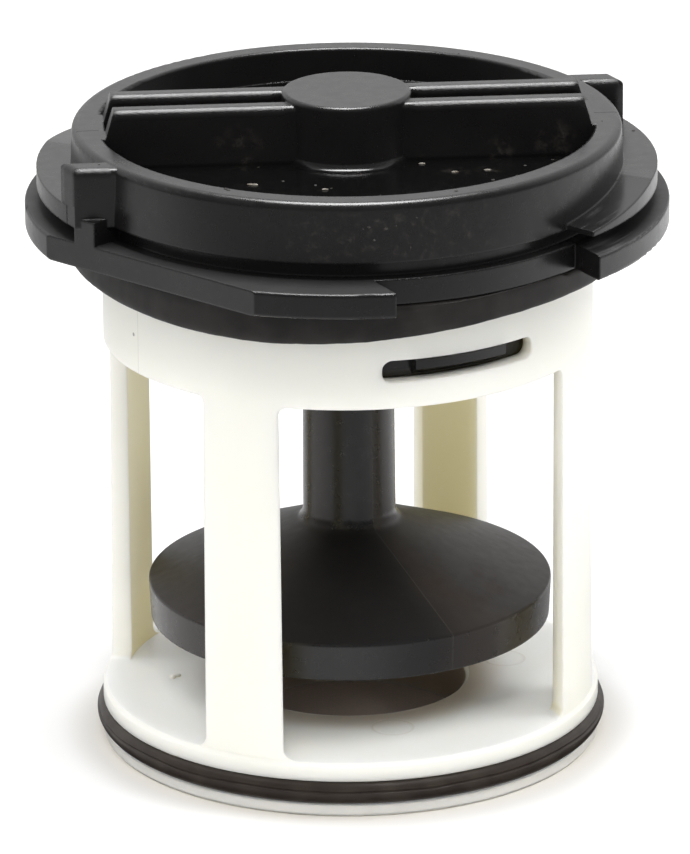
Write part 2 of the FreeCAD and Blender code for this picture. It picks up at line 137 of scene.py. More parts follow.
class Finish(Wire):                                     # a new material and what its patterns are drawn with
    def __init__(self, name):
        self.material = bpy.data.materials.new(name)
        self.material.use_nodes = True
        super().__init__(self.material.node_tree)
        self.shader = self.tree.nodes["Principled BSDF"]
        self.place = self.make("ShaderNodeTexCoord", output="Object")
        self.x = self.make("ShaderNodeSeparateXYZ", None, {0: self.place})
        self.y = self.x.also(1)
        self.z = self.x.also(2)
        self.radius = self.sum("SQRT", self.x * self.x + self.y * self.y)
        self.bearing = self.sum("ARCTAN2", self.x, 0.0 - self.y)       # radians from the front towards +X
        self.normal = self.make("ShaderNodeNewGeometry", output="Normal")
        self.upward = self.make("ShaderNodeSeparateXYZ", None, {0: self.normal}, 2)

    def noise(self, scale, detail=2.0, roughness=0.5):
        return self.noiseAt(self.place, scale, detail, roughness)

    def pattern(self, scale, low, high, detail=2.0, roughness=0.5):     # patches where the noise is high
        return self.noise(scale, detail, roughness).between(low, high)

    def stray(self, width, scale, detail):              # the same, read on the surface
        return self.strayAt(self.place, width, scale, detail)

    def ringNoise(self, scale, stretch, detail=2.0):    # noise drawn out along the bearing
        where = self.vector(self.bearing * stretch, self.radius, self.z)
        return self.noiseAt(where, scale, detail)

    def distance(self, place):                          # from a place in mm
        return self.make("ShaderNodeVectorMath", {"operation": "DISTANCE"},
                         {0: self.place, 1: Vector(place) * mm}, "Value")

    def spot(self, place, reach, soft):                 # 1 within reach of a place, then fading out, in mm
        return self.distance(place).below(reach * mm, (reach + soft) * mm)

    def upLine(self, bearing, half, core=0.4):          # a thin line at one bearing, full in its core
        return ((self.bearing - bearing).plain() * self.radius).below(half * core, half)

    def outwardness(self):                              # 1 on faces that look away from the axis, -1 towards it
        away = self.make("ShaderNodeVectorMath", {"operation": "NORMALIZE"}, {0: self.vector(self.x, self.y, 0.0)})
        return self.make("ShaderNodeVectorMath", {"operation": "DOT_PRODUCT"}, {0: self.normal, 1: away}, "Value")

    def mix(self, factor, first, second):
        first, second = ((*c, 1.0) if isinstance(c, tuple) else c for c in (first, second))
        return self.make("ShaderNodeMix", {"data_type": "RGBA"}, {0: factor, 6: first, 7: second}, 2)

    def bump(self, height, strength, distance, soft=0.0):  # relief, over edges that catch the light as rounded
        sockets = {"Height": height, "Strength": strength, "Distance": distance}
        if soft:
            sockets["Normal"] = self.make("ShaderNodeBevel", {"samples": bevelSamples}, {"Radius": soft})
        return self.make("ShaderNodeBump", None, sockets)

    def glow(self, strength):
        return self.make("ShaderNodeEmission", None, {"Color": plainWhite, "Strength": strength})

    def give(self, **sockets):                          # numbers or wires on the shader's own sockets
        for name, value in sockets.items():
            target = self.shader.inputs[name.replace("_", " ")]
            if isinstance(value, Wire):
                self.tree.links.new(value.socket, target)
            else:
                target.default_value = value
        return self.material


class Shape(Wire):                                      # a Geometry Nodes tree and the piece that it makes
    def __init__(self, name):
        super().__init__(bpy.data.node_groups.new(name, "GeometryNodeTree"))
        self.name = name
        face = self.tree.interface
        face.new_socket("Geometry", in_out="INPUT", socket_type="NodeSocketGeometry")
        face.new_socket("Geometry", in_out="OUTPUT", socket_type="NodeSocketGeometry")
        self.start = self.tree.nodes.new("NodeGroupInput")
        self.end = self.tree.nodes.new("NodeGroupOutput")
        self.values = {}

    def dial(self, name, value):                        # a named input of the tree
        kind = "NodeSocketInt" if isinstance(value, int) else "NodeSocketFloat"
        socket = self.tree.interface.new_socket(name, in_out="INPUT", socket_type=kind)
        self.values[socket.identifier] = value
        return Wire(self.tree, self.start.outputs[name])

    def dials(self, sizes):                             # inputs for the single numbers, the rest as it is
        return {name: self.dial(name, value) if isinstance(value, (int, float)) else value
                for name, value in sizes.items()}

    def base(self):                                     # the mesh that the tree starts from
        return Wire(self.tree, self.start.outputs["Geometry"])

    def position(self):
        return self.make("ShaderNodeSeparateXYZ", None, {0: self.make("GeometryNodeInputPosition")})

    def ball(self, rounds):
        return self.make("GeometryNodeMeshIcoSphere", None, {"Radius": 1.0, "Subdivisions": rounds})

    def draw(self, d, step):                            # a random size for each point
        return self.make("FunctionNodeRandomValue", {"data_type": "FLOAT"},
                         {2: d["smallest"], 3: d["largest"], "Seed": d["seed"] + step}, 1)

    def piece(self, geometry, finish, slot, mesh=None):
        whole = self.make("GeometryNodeRealizeInstances", None, {0: geometry})
        smooth = self.make("GeometryNodeSetShadeSmooth", None, {0: whole})
        done = self.make("GeometryNodeSetMaterial", None, {0: smooth, "Material": finish})
        self.tree.links.new(done.socket, self.end.inputs[0])
        item = bpy.data.objects.new(self.name, mesh or bpy.data.meshes.new(self.name))
        bpy.context.scene.collection.objects.link(item)
        modifier = item.modifiers.new("shape", "NODES")
        modifier.node_group = self.tree
        for identifier, value in self.values.items():
            modifier[identifier] = value
        final = bpy.data.meshes.new_from_object(item.evaluated_get(bpy.context.evaluated_depsgraph_get()))
        item.modifiers.remove(modifier)
        item.data = final
        final.name = self.name
        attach(item, "root")
        return item


# black plastic of the cap and the deflector; a pattern is scale, low end, high end, detail and roughness of its noise

blackLook = {
    "dark": (0.0055, 0.005, 0.005), "light": (0.0085, 0.0078, 0.0077), "cloud": (90.0, 0.3, 0.7, 3.0),
    "dust": (0.085, 0.078, 0.068), "dustSpread": (700.0, 0.55, 0.8, 6.0, 0.7), "dustFacing": (0.5, 1.0),
    "dustShare": 0.1, "dustRough": 0.5, "scuff": (0.13, 0.13, 0.135),
    "roughness": 0.29, "roughStray": (0.16, 900.0, 4.0), "polish": 0.2, "specular": 0.45,
    "grain": 5200.0, "grainShare": 0.5, "grainStrength": 0.3, "grainDepth": 0.02 * mm, "edge": 0.3 * mm,
}
capMarks = {
    "ribTop": (67.6 * mm, 68.0 * mm), "ribFrom": (7 * mm, 8 * mm), "ribFoot": (63.0 * mm, 63.5 * mm),
    "ribWear": (260.0, 0.42, 0.7, 3.0), "ribWearShare": 0.6, "ribRounding": 0.7 * mm,
    "cavityWall": (25.0 * mm, 25.3 * mm), "cavityFloor": (62.8 * mm, 63.2 * mm), "cavityPolish": 0.13,
    "cavityShade": (0.002, 0.002, 0.002), "cavityShare": 0.75,
    "smears": [((15.6, -2.7, 63.7), 0.6, 1.2), ((21.1, -2.3, 64.4), 1.0, 1.6), ((10.9, -7.2, 62.7), 0.7, 1.4),
               ((14.2, -6.6, 62.7), 0.5, 1.2), ((-2.2, -12.8, 62.7), 0.4, 0.6), ((-10.8, -4.7, 64.5), 0.3, 3.0)],
    "grime": (800.0, 0.45, 0.75, 5.0, 0.65), "smearShare": 0.35,
    "rampMiddle": 63 * degree, "rampHalf": 16 * degree, "rampCore": 0.97, "rampInside": (28.3 * mm, 28.9 * mm),
    "rampTop": (62.2 * mm, 62.5 * mm), "rampFacing": (0.3, 0.7), "rampPolish": 0.1,
    "wornBelow": (60.2 * mm, 61.6 * mm), "scratches": (1500.0, 0.0022, 5.0), "scratchEnds": (0.5, 0.78),
    "scratchDepth": 1.5, "scuffShare": 0.5, "scuffRough": 0.15,
    "flangeTop": (58.1 * mm, 58.4 * mm, 0.1 * mm), "flangeFacing": (0.8, 0.95), "flangeFrom": (28 * mm, 28.5 * mm),
    "flangeRough": 0.3,
    "waterBearing": (-8 * degree, 24 * degree, 0.25), "waterHeight": (60.5 * mm, 64.6 * mm, 0.8 * mm),
    "waterFrom": (27.6 * mm, 27.9 * mm), "water": (900.0, 0.5, 0.75, 6.0, 0.75), "waterShare": 0.28,
    "partingLines": (-83 * degree, 94 * degree), "lineHalf": 0.16 * mm, "lineFoot": (65.75 * mm, 65.95 * mm),
    "lineTop": (66.3 * mm, 66.5 * mm), "lineBand": (25.4 * mm, 27.5 * mm, 0.2 * mm),
    "lineShade": (0.004, 0.004, 0.004), "lineShare": 0.85, "lineRough": 0.3, "lineDepth": 3.0,
    "ripples": (1100.0, 3.0), "rippleDepth": 0.7,
    "blockFrom": (28.3 * mm, 28.5 * mm), "blockTop": (61.9 * mm, 62.2 * mm), "blockRounding": 0.8 * mm,
}


def plasticBase(f, look):                               # colour, roughness and dust that both mouldings share
    colour = f.mix(f.pattern(*look["cloud"]), look["dark"], look["light"])
    dust = f.upward.between(*look["dustFacing"]) * f.pattern(*look["dustSpread"]) * look["dustShare"]
    rough = look["roughness"] + f.stray(*look["roughStray"]) + dust * look["dustRough"]
    return f.mix(dust, colour, look["dust"]), rough


def capPlastic(look, marks):
    f = Finish("capPlastic")
    colour, rough = plasticBase(f, look)

    # polished tops of the grip's ribs
    polish = f.z.between(*marks["ribTop"]) * f.radius.between(*marks["ribFrom"])
    worn = 1.0 - f.pattern(*marks["ribWear"]) * marks["ribWearShare"]
    rough = rough - polish * (look["roughness"] - look["polish"]) * worn

    # the cavity inside the finger ring, darkened with painted shade, with smears of grime
    inRing = f.radius.below(*marks["cavityWall"])
    cavity = inRing * f.z.below(*marks["cavityFloor"])
    rough = rough - cavity * marks["cavityPolish"]
    colour = f.mix(cavity * marks["cavityShare"], colour, marks["cavityShade"])
    smear = strongest(f.spot(*place) for place in marks["smears"])
    colour = f.mix(smear * f.pattern(*marks["grime"]) * marks["smearShare"], colour, look["dust"])

    # worn ramps of the two wings, scratched along the turn
    turn = (f.bearing - marks["rampMiddle"]) * 2.0      # the same on both wings
    onRamp = turn.cosine().between(math.cos(marks["rampHalf"] * 2), marks["rampCore"])
    onRamp = onRamp * f.radius.between(*marks["rampInside"])
    onRamp = onRamp * f.z.below(*marks["rampTop"]) * f.upward.between(*marks["rampFacing"])
    scratch = f.ringNoise(*marks["scratches"]).between(*marks["scratchEnds"])
    scuff = onRamp * f.z.below(*marks["wornBelow"]) * scratch
    colour = f.mix(scuff * marks["scuffShare"], colour, look["scuff"])
    rough = rough - onRamp * marks["rampPolish"] + scuff * marks["scuffRough"]

    # the flange's top, left as the mould's rough steel made it
    flangeTop = f.z.inside(*marks["flangeTop"]) * f.upward.between(*marks["flangeFacing"])
    rough = rough + flangeTop * f.radius.between(*marks["flangeFrom"]) * marks["flangeRough"]

    # dry water marks on the front of the ring
    ringFront = f.bearing.inside(*marks["waterBearing"]) * f.z.inside(*marks["waterHeight"])
    ringFront = ringFront * f.radius.between(*marks["waterFrom"])
    colour = f.mix(ringFront * f.pattern(*marks["water"]) * marks["waterShare"], colour, look["dust"])

    # parting lines across the ring's top
    line = strongest(f.upLine(bearing, marks["lineHalf"]) for bearing in marks["partingLines"])
    line = line * f.z.between(*marks["lineFoot"]) * f.radius.inside(*marks["lineBand"]) * f.z.below(*marks["lineTop"])
    colour = f.mix(line * marks["lineShare"], colour, marks["lineShade"])
    rough = rough + line * marks["lineRough"]

    grain = f.noise(look["grain"]) * look["grainShare"] + f.noise(*marks["ripples"]) * marks["rippleDepth"]
    grain = grain + scratch * onRamp * marks["scratchDepth"] - line * marks["lineDepth"]
    block = f.radius.between(*marks["blockFrom"]) * f.z.between(*marks["blockTop"])
    foot = inRing * f.z.below(*marks["ribFoot"])        # no rounding where the ribs meet the floor
    edge = look["edge"] + polish * marks["ribRounding"] + block * marks["blockRounding"] - foot * look["edge"]
    relief = f.bump(grain, look["grainStrength"], look["grainDepth"], edge)
    return f.give(Base_Color=colour, Roughness=rough, Normal=relief, Specular_IOR_Level=look["specular"])


coneMarks = {
    "smear": ((11.0, -9.0, 20.0), 2.5, 6.0), "smearSpread": (240.0, 0.4, 0.7, 4.0), "smearShare": 0.5,
    "smearRough": 0.12, "side": (38 * degree, 120 * degree, 0.3), "reflectionShare": 0.35, "smudgeAndReflectionTint": (0.03, 0.0195, 0.0135),
    "partingLine": 30 * degree, "lineHalf": 0.11 * mm, "lineFrom": (4.4 * mm, 4.8 * mm), "lineShare": 0.14,
    "lineDepth": 1.2, "coneFacing": (0.6, 0.85), "coneMatt": 0.22, "flow": (700.0, 0.03), "flowDepth": 0.8,
}


def deflectorPlastic(look, marks):
    f = Finish("deflectorPlastic")
    colour, rough = plasticBase(f, look)
    patch = f.spot(*marks["smear"]) * f.pattern(*marks["smearSpread"])
    # painted warm reflection on the cone's two sides, mixed with a real smudge at the front right
    side = f.bearing.plain().inside(*marks["side"])
    brown = patch * marks["smearShare"] + side * marks["reflectionShare"]
    colour = f.mix(brown.least(1.0), colour, marks["smudgeAndReflectionTint"])
    line = f.upLine(marks["partingLine"], marks["lineHalf"]) * f.radius.between(*marks["lineFrom"])
    colour = f.mix(line * marks["lineShare"], colour, look["dust"])
    rough = rough + patch * marks["smearRough"] + f.upward.between(*marks["coneFacing"]) * marks["coneMatt"]
    flow = f.ringNoise(*marks["flow"])                  # faint turning marks of the mould
    grain = f.noise(look["grain"]) * look["grainShare"] + flow * marks["flowDepth"] + line * marks["lineDepth"]
    relief = f.bump(grain, look["grainStrength"], look["grainDepth"], look["edge"])
    return f.give(Base_Color=colour, Roughness=rough, Normal=relief, Specular_IOR_Level=look["specular"])


# white plastic of the cage

whiteLook = {
    # some colours here are painted light and shade: the warm shade of faces towards the axis, a lit disc top and foot
    # band, and shade round and in the suction hole
    "outside": (0.865, 0.838, 0.738), "inside": (0.78, 0.71, 0.485), "shade": (0.62, 0.53, 0.38),
    "disc": (0.94, 0.925, 0.86), "foot": (0.97, 0.9, 0.76), "coneShadow": (0.5, 0.4, 0.28),
    "holeShade": (0.26, 0.205, 0.155), "dirt": (0.16, 0.14, 0.11), "dirtSpread": (1500.0, 0.72, 0.84, 4.0, 0.7),
    "dirtShare": 0.0875, "cloud": (60.0, 0.45, 0.8, 3.0), "cloudShare": 0.12,
    "roughness": 0.36, "roughStray": (0.12, 500.0, 3.0), "grain": 3800.0, "grainShare": 0.4, "grainStrength": 0.25,
    "grainDepth": 0.03 * mm, "edge": 0.35 * mm, "scatter": (1.0, 0.94, 0.82), "scatterReach": 6 * mm,
    "scatterShare": 0.7,
}
nubLook = {**whiteLook, "scatterShare": 0.0}            # too small for light to go through
cageMarks = {
    "insideFacing": (0.1, 0.8), "litColumnBearing": (48 * degree, 84 * degree, 0.1),
    "litColumnHeight": (7 * mm, 43 * mm, 1 * mm), "litColumnShare": 0.75,
    "footTop": (1.3 * mm, 1.6 * mm), "footFacing": (0.5, 0.9),
    "discTop": (5.85 * mm, 6.15 * mm), "discFacing": (0.6, 0.95), "coneShadowReach": (12.5 * mm, 17.0 * mm), "coneShadowShare": 0.8,
    "pins": [(4.3, -15.6, 5.75), (16.2, 3.6, 5.75)], "pinRim": (2.1 * mm, 0.22 * mm), "pinRimHeight": 9.0,
    "pinFace": (1.7 * mm, 1.9 * mm), "pinFaceDepth": 3.0, "pinShare": 0.22,
    "partingLines": (-57.5 * degree, 122.5 * degree), "lineHalf": 0.1 * mm, "lineFacing": (0.7, 0.9),
    "lineFrom": (43 * mm, 44 * mm), "lineHeight": 2.0, "lineShare": 0.16,
    "hole": (12.0 * mm, 0.3 * mm), "holeTop": (5.0 * mm, 5.6 * mm), "holeShadeShare": 0.95,
    "speck": ((-21.7, -12.8, 47.5), 0.14, 0.12), "speckShare": 0.75,
}


def cagePlastic(name, look, marks):
    f = Finish(name)
    outward = f.outwardness()
    inside = (0.0 - outward).between(*marks["insideFacing"])
    # painted light: the inner face of the right column stays lighter, where light falls on it
    pale = f.bearing.inside(*marks["litColumnBearing"]) * f.z.inside(*marks["litColumnHeight"])
    # painted shade: faces towards the axis take the darker warm colour, as light through the plastic makes them look
    colour = f.mix(inside * (1.0 - pale * marks["litColumnShare"]), look["outside"], look["inside"])
    # painted warm light on the outer band at the foot, as the floor's bounce lights it
    foot = f.z.below(*marks["footTop"]) * outward.between(*marks["footFacing"])
    colour = f.mix(foot, colour, look["foot"])
    colour = f.mix(f.pattern(*look["cloud"]) * look["cloudShare"], colour, look["inside"])
    # painted light: the disc's top is whiter than the rest
    onDisc = f.upward.between(*marks["discFacing"]) * f.z.below(*marks["discTop"])
    colour = f.mix(onDisc, colour, look["disc"])
    # painted shadow of the deflector on the disc round the suction hole
    nearHole = onDisc * f.radius.below(*marks["coneShadowReach"])
    colour = f.mix(nearHole * marks["coneShadowShare"], colour, look["coneShadow"])

    relief = f.noise(look["grain"]) * look["grainShare"]
    for pin in marks["pins"]:                           # ring marks of the ejector pins
        away = f.distance(pin)
        rim = away.hill(*marks["pinRim"])
        relief = relief + rim * marks["pinRimHeight"] - away.below(*marks["pinFace"]) * marks["pinFaceDepth"]
        colour = f.mix(rim * marks["pinShare"], colour, look["shade"])
    line = strongest(f.upLine(bearing, marks["lineHalf"]) for bearing in marks["partingLines"])
    line = line * outward.between(*marks["lineFacing"]) * f.z.between(*marks["lineFrom"])
    relief = relief + line * marks["lineHeight"]
    holeShade = f.radius.hill(*marks["hole"]) * f.z.below(*marks["holeTop"]) * inside      # painted shade on the wall of the suction hole
    colour = f.mix(holeShade * marks["holeShadeShare"], colour, look["holeShade"])
    dirt = f.spot(*marks["speck"]) * marks["speckShare"] + line * marks["lineShare"]
    dirt = dirt + f.pattern(*look["dirtSpread"]) * look["dirtShare"]
    colour = f.mix(dirt.least(1.0), colour, look["dirt"])
    rough = look["roughness"] + f.stray(*look["roughStray"])
    relief = f.bump(relief, look["grainStrength"], look["grainDepth"], look["edge"])
    return f.give(Base_Color=colour, Roughness=rough, Normal=relief, Subsurface_Weight=look["scatterShare"],
                  Subsurface_Radius=look["scatter"], Subsurface_Scale=look["scatterReach"])


# rubber of the two seals

rubberGrain = {"cloud": (300.0, 0.35, 0.7, 4.0), "chalkSpread": (1800.0, 0.6, 0.85, 5.0, 0.7), "chalkShare": 0.25,
               "roughStray": (0.2, 900.0, 3.0), "grain": (2600.0, 3.0), "grainStrength": 0.3, "grainDepth": 0.03 * mm}
gasketLook = {"dark": (0.0085, 0.0073, 0.0066), "light": (0.017, 0.0145, 0.013), "chalk": (0.075, 0.066, 0.058),
              "roughness": 0.5, "specular": 0.32, **rubberGrain}
# the O-ring is painted lighter and warmer than the gasket: painted warm reflection of the light inside the cage
oRingLook = {"dark": (0.02, 0.0138, 0.0102), "light": (0.034, 0.0255, 0.019), "chalk": (0.08, 0.065, 0.052),
             "roughness": 0.42, "specular": 0.34, **rubberGrain}


def sealRubber(name, look):
    f = Finish(name)
    colour = f.mix(f.pattern(*look["cloud"]), look["dark"], look["light"])
    colour = f.mix(f.pattern(*look["chalkSpread"]) * look["chalkShare"], colour, look["chalk"])
    rough = look["roughness"] + f.stray(*look["roughStray"])
    relief = f.bump(f.noise(*look["grain"]), look["grainStrength"], look["grainDepth"])
    return f.give(Base_Color=colour, Roughness=rough, Normal=relief, Specular_IOR_Level=look["specular"])


# dust and crumbs

specks = {"mottle": (900.0, 0.35, 0.65), "roughness": 0.75, "roughGrain": 3000.0, "roughRise": 0.2}
lintLook = {"pale": (0.055, 0.052, 0.05), "brown": (0.03, 0.026, 0.022), **specks}
crumbLook = {"pale": (0.34, 0.32, 0.28), "brown": (0.09, 0.07, 0.05), **specks}


def lintFinish(name, look):
    f = Finish(name)
    colour = f.mix(f.pattern(*look["mottle"]), look["pale"], look["brown"])
    return f.give(Base_Color=colour, Roughness=look["roughness"] + f.noise(look["roughGrain"]) * look["roughRise"])


finishes = {"cap": capPlastic(blackLook, capMarks), "deflector": deflectorPlastic(blackLook, coneMarks),
            "cage": cagePlastic("cagePlastic", whiteLook, cageMarks)}
nubFinish = cagePlastic("cageNubPlastic", nubLook, cageMarks)
gasketFinish = sealRubber("gasketRubber", gasketLook)
oRingFinish = sealRubber("oRingRubber", oRingLook)
lint = lintFinish("lintDust", lintLook)
crumbFinish = lintFinish("crumbDirt", crumbLook)
for node, finish in finishes.items():
    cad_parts[node].data.materials.clear()
    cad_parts[node].data.materials.append(finish)
print("finishes made")


# rubber rings and the boss's foot: a section swept round the axis, on a grid of bearing by section angle

def sweptRing(s, around, section):
    grid = s.make("GeometryNodeMeshGrid", None, {"Size X": math.tau, "Size Y": math.tau,
                                                 "Vertices X": around, "Vertices Y": section})
    bearing = s.position()
    return grid, bearing, bearing.also(1)


def onCircle(s, bearing, height=0.0):                   # where noise is read, so that it closes on itself
    return s.vector(bearing.sine(), bearing.cosine(), height)


def closeRing(s, grid, bearing, radius, height):
    place = s.vector(radius * bearing.sine(), 0.0 - radius * bearing.cosine(), height)
    bent = s.make("GeometryNodeSetPosition", None, {"Geometry": grid, "Position": place})
    return s.make("GeometryNodeMergeByDistance", None, {"Geometry": bent, "Distance": weld})


gasket = {"outer": 28.58 * mm, "inner": 25.23 * mm, "top": 55.62 * mm, "bottom": 52.75 * mm, "squareness": 0.36,
          "sag": 1.36 * mm, "sagBearing": -15 * degree, "sagHalf": 64 * degree, "tilt": 0.25 * mm,
          "lift": 0.85 * mm, "liftBearing": 44 * degree, "liftHalf": 36 * degree, "liftEnd": 51 * degree,
          "liftFade": 3 * degree, "lipWidth": 0.08 * mm, "lipCrest": 0.03 * mm,
          "ripple": 0.14 * mm, "rippleTwist": 0.2, "outerRipple": 0.5, "rippleNoise": (9.0, 5.0, 0.62),
          "lowerSide": (0.2, 0.9), "upperSide": (0.3, 0.9), "outerSide": (0.5, 1.0), "around": 481, "section": 49}


def makeGasket():
    s = Shape("capGasketSag")
    d = s.dials(gasket)
    grid, bearing, turn = sweptRing(s, d["around"], d["section"])

    def squared(wave):                                  # a rounded rectangle's side from a wave
        return s.sum("SIGN", wave) * wave.plain() ** d["squareness"]

    out, up = squared(turn.cosine()), squared(turn.sine())
    radius = (d["outer"] + d["inner"]) * 0.5 + (d["outer"] - d["inner"]) * 0.5 * out
    height = (d["top"] + d["bottom"]) * 0.5 + (d["top"] - d["bottom"]) * 0.5 * up
    low = (0.0 - up).between(*d["lowerSide"])
    high = up.between(*d["upperSide"]) * radius.between(d["outer"] - d["lipWidth"], d["outer"] - d["lipCrest"])
    ripple = s.strayAt(onCircle(s, bearing, up * d["rippleTwist"]), d["ripple"] * 2.0, *d["rippleNoise"])
    drop = d["sag"] * bearing.hill(d["sagBearing"], d["sagHalf"]) - d["tilt"] * bearing.sine()
    lip = d["lift"] * bearing.hill(d["liftBearing"], d["liftHalf"])
    lip = lip * bearing.below(d["liftEnd"] - d["liftFade"], d["liftEnd"])       # flat under the flange again
    height = height - low * drop + high * lip + low * ripple
    radius = radius + ripple * out.between(*d["outerSide"]) * d["outerRipple"]
    item = s.piece(closeRing(s, grid, bearing, radius, height), gasketFinish, "black_rubber")
    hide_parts("cap_gasket")


oRing = {"radius": 25.2 * mm, "thickness": 1.25 * mm, "height": 2.6 * mm, "seam": 0.2 * mm,
         "seamAngle": 14 * degree, "seamHalf": 9 * degree, "wander": 15 * degree, "wanderNoise": (2.6, 3.0),
         "stepShare": 0.3, "stepRise": (0.0, 0.25), "stepEnd": (1.2, 1.6), "around": 361, "section": 121}


def makeORing():
    s = Shape("cageSealRing")
    d = s.dials(oRing)
    grid, bearing, turn = sweptRing(s, d["around"], d["section"])
    wander = s.strayAt(onCircle(s, bearing), d["wander"] * 2.0, *d["wanderNoise"])
    seam = d["seam"] * turn.hill(d["seamAngle"] + wander, d["seamHalf"])
    step = d["seam"] * d["stepShare"] * (turn - d["seamAngle"] - wander).between(*d["stepRise"])
    body = d["thickness"] - seam - step * turn.below(*d["stepEnd"])
    shape = closeRing(s, grid, bearing, d["radius"] + body * turn.cosine(), d["height"] + body * turn.sine())
    item = s.piece(shape, oRingFinish, "black_rubber")
    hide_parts("cage_o_ring")


bossFoot = {"inner": 6.5 * mm, "reach": 1.15 * mm, "rise": 1.15 * mm, "floor": 62.6 * mm, "ripple": 0.12 * mm,
            "rippleNoise": (2.2, 3.0), "around": 181, "section": 33}


def makeBossFoot():                                     # hollow fillet where the boss meets the cavity's floor
    s = Shape("capBossFoot")
    d = s.dials(bossFoot)
    grid, bearing, turn = sweptRing(s, d["around"], d["section"])
    angle = (turn.least(0.0) + math.pi) * 0.5           # first half of the section: the hollow
    back = turn.most(0.0) * (2.0 / math.pi)             # second half: back along the hidden corner
    reach = d["reach"] + s.strayAt(onCircle(s, bearing), d["ripple"], *d["rippleNoise"])
    out = d["inner"] + reach * (1.0 - angle.sine() + (back - 1.0).most(0.0))
    up = d["floor"] + d["rise"] * (1.0 - angle.cosine() - back.least(1.0))
    s.piece(closeRing(s, grid, bearing, out, up), finishes["cap"], "black_plastic")


makeGasket()
makeORing()
makeBossFoot()
print("rubber rings made")


# dust, crumbs and moulding nubs

def mergedCopy(node):                                   # a CAD node's mesh with its loose triangles joined
    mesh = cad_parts[node].data.copy()
    work = bmesh.new()
    work.from_mesh(mesh)
    bmesh.ops.remove_doubles(work, verts=work.verts, dist=weld)
    work.to_mesh(mesh)
    work.free()
    mesh.materials.clear()
    return mesh


dust = {"ringDensity": 0.22e6, "ringBearing": (1 * degree, 20 * degree, 0.08), "ringFrom": (27.7 * mm, 27.9 * mm),
        "ringHeight": (61.2 * mm, 64.2 * mm, 0.4 * mm), "level": (0.9, 0.95),
        "floorDensity": 0.03e6, "floorHeight": (62.5 * mm, 62.8 * mm, 0.05 * mm),
        "topDensity": 0.008e6, "topHeight": (59.0 * mm, 69.0 * mm, 0.1 * mm),         # not on the boss, the box's top
        "smallest": 0.05 * mm, "largest": 0.26 * mm, "flatness": 0.35, "rounds": 1, "seed": 11}


def makeDust():
    s = Shape("capDust")
    d = s.dials(dust)
    x = s.position()
    y, z = x.also(1), x.also(2)
    radius = s.sum("SQRT", x * x + y * y)
    bearing = s.sum("ARCTAN2", x, 0.0 - y)
    upward = s.make("ShaderNodeSeparateXYZ", None, {0: s.make("GeometryNodeInputNormal")}, 2)
    ringFront = bearing.inside(*d["ringBearing"]) * z.inside(*d["ringHeight"]) * radius.between(*d["ringFrom"])
    floor = upward.between(*d["level"]) * z.inside(*d["floorHeight"])
    top = upward.between(*d["level"]) * z.inside(*d["topHeight"])
    density = d["ringDensity"] * ringFront + d["floorDensity"] * floor + d["topDensity"] * top
    points = s.make("GeometryNodeDistributePointsOnFaces", None,
                    {"Mesh": s.base(), "Density": density, "Seed": d["seed"]})
    wide, long = s.draw(d, 1), s.draw(d, 2)
    flecks = s.make("GeometryNodeInstanceOnPoints", None,
                    {"Points": points, "Instance": s.ball(d["rounds"]), "Rotation": points.also("Rotation"),
                     "Scale": s.vector(wide, long, wide * d["flatness"])})
    s.piece(flecks, lint, "white_plastic", mergedCopy("cap"))


def pointMesh(name, places):
    mesh = bpy.data.meshes.new(name)
    mesh.from_pydata([Vector(place) * mm for place in places], [], [])
    return mesh


crumbs = {"places": [(-9.75, -10.95, 62.7), (-9.35, -11.05, 62.7), (-2.2, -12.8, 62.72), (10.9, -7.2, 62.68),
                     (7.6, -4.4, 62.7), (14.2, -6.6, 62.68)],
          "stretch": 1.8, "flatness": 0.5, "rounds": 3, "smallest": 0.12 * mm, "largest": 0.24 * mm, "seed": 5}
blackNubs = {"places": [(0.05, -5.75, 24.0), (7.78, -19.35, 16.75), (-18.3, -9.6, 16.4), (-11.2, -17.6, 16.75)],
             "stretch": 1.0, "flatness": 0.5, "rounds": 3, "smallest": 0.14 * mm, "largest": 0.26 * mm, "seed": 3}
whiteNubs = {"places": [(-18.52, -1.12, 5.8), (-18.1, -0.7, 5.78), (17.9, 9.3, 5.78)],
             "stretch": 1.0, "flatness": 0.5, "rounds": 3, "smallest": 0.3 * mm, "largest": 0.55 * mm, "seed": 2}


def makeNubs(name, nubs, finish, slot):
    s = Shape(name)
    d = s.dials(nubs)
    wide, long = s.draw(d, 0), s.draw(d, 1)
    lumps = s.make("GeometryNodeInstanceOnPoints", None,
                   {"Points": s.base(), "Instance": s.ball(d["rounds"]),
                    "Scale": s.vector(wide * d["stretch"], long, wide * d["flatness"])})
    s.piece(lumps, finish, slot, pointMesh(name, d["places"]))


makeDust()
makeNubs("capCrumbs", crumbs, crumbFinish, "white_plastic")
makeNubs("deflectorNubs", blackNubs, finishes["deflector"], "black_plastic")
makeNubs("cageGateNubs", whiteNubs, nubFinish, "white_plastic")
print("dust and nubs made")


# stage, lamps and camera

paper = {"half": 0.6, "colour": (0.84, 0.84, 0.84), "roughness": 0.9, "fadeOut": (0.2, 0.4),
         "near": (0.69, 0.675, 0.65), "nearReach": (26 * mm, 31 * mm),
         "under": (0.64, 0.53, 0.46), "underReach": (22 * mm, 25 * mm),
         "lift": 0.2, "clear": (25 * mm, 41 * mm), "frontShine": 0.55, "backShine": 1.25, "turnsAt": (-0.17, -0.03),
         "leftGain": 3.0, "leftEnd": -0.15, "leftBehind": (-0.02, 0.08), "rightGain": 1.2, "rightEnd": 0.2,
         "dimmed": 0.6, "dimmedFrom": (0.0, 0.03), "dimmedReach": (0.06, 0.09)}


